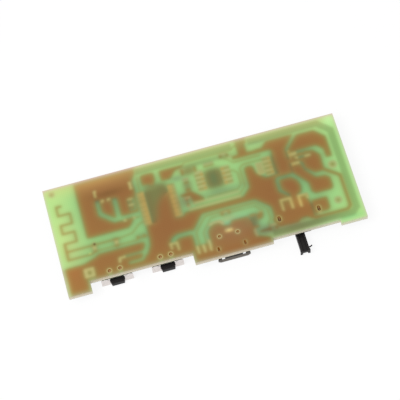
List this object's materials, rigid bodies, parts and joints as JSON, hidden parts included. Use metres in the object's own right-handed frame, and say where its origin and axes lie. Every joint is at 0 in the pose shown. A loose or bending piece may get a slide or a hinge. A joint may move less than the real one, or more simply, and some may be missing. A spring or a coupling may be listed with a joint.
{
  "type": "wireless audio amplifier board",
  "caption": "Single-sided audio amplifier board, lying bare face up, with push buttons, a charging socket and a slide switch along one edge.",
  "frame": {"origin": "middle of the bare top face of the laminate, halfway along its length and width", "axes": "+X along the board from the push buttons to the slide switch, +Y from the edge with the buttons to the plain far edge, +Z out of the bare face"},
  "size_m": [0.074, 0.0327, 0.0051],
  "materials": {
    "laminate": "satin",
    "copper": "satin",
    "mask": "gloss",
    "ink": "satin",
    "solder": "satin",
    "dark_steel": "satin",
    "bright_steel": "satin",
    "gold": "gloss",
    "black_plastic": "matte",
    "chip_resin": "matte",
    "ceramic": "satin"
  },
  "bodies": {
    "board": {"laminate": "laminate", "copper_foil": "copper", "solder_mask": "mask", "ink_band": "ink", "pad_tin": "solder", "solder_joints": "solder", "socket_shell": "dark_steel", "socket_tongue": "black_plastic", "socket_contacts": "gold", "left_button_housing": "black_plastic", "left_button_plate": "bright_steel", "left_button_dome": "gold", "left_button_terminals": "solder", "right_button_housing": "black_plastic", "right_button_plate": "bright_steel", "right_button_dome": "gold", "right_button_terminals": "solder", "switch_frame": "bright_steel", "switch_insulator": "black_plastic", "switch_terminals": "solder", "radio_chip_body": "chip_resin", "radio_chip_leads": "solder", "amplifier_chip_body": "chip_resin", "amplifier_chip_leads": "solder", "charger_chip_body": "chip_resin", "charger_chip_leads": "solder", "crystal_can": "bright_steel", "crystal_base": "black_plastic", "crystal_terminals": "solder", "capacitor_bodies": "ceramic", "resistor_bodies": "chip_resin", "end_caps": "solder"},
    "left_plunger": {"left_button_plunger": "black_plastic"},
    "right_plunger": {"right_button_plunger": "black_plastic"},
    "slider": {"switch_lever": "black_plastic", "switch_wiper": "gold"}
  },
  "joints": [
    {"name": "left_button_press", "type": "slide", "parent": "board", "child": "left_plunger", "axis": [0, 1, 0], "range_m": [0, 0.00025], "stiffness_N_per_m": 6000},
    {"name": "right_button_press", "type": "slide", "parent": "board", "child": "right_plunger", "axis": [0, 1, 0], "range_m": [0, 0.00025], "stiffness_N_per_m": 6000},
    {"name": "switch_slide", "type": "slide", "parent": "board", "child": "slider", "axis": [1, 0, 0], "range_m": [0, 0.002]}
  ]
}
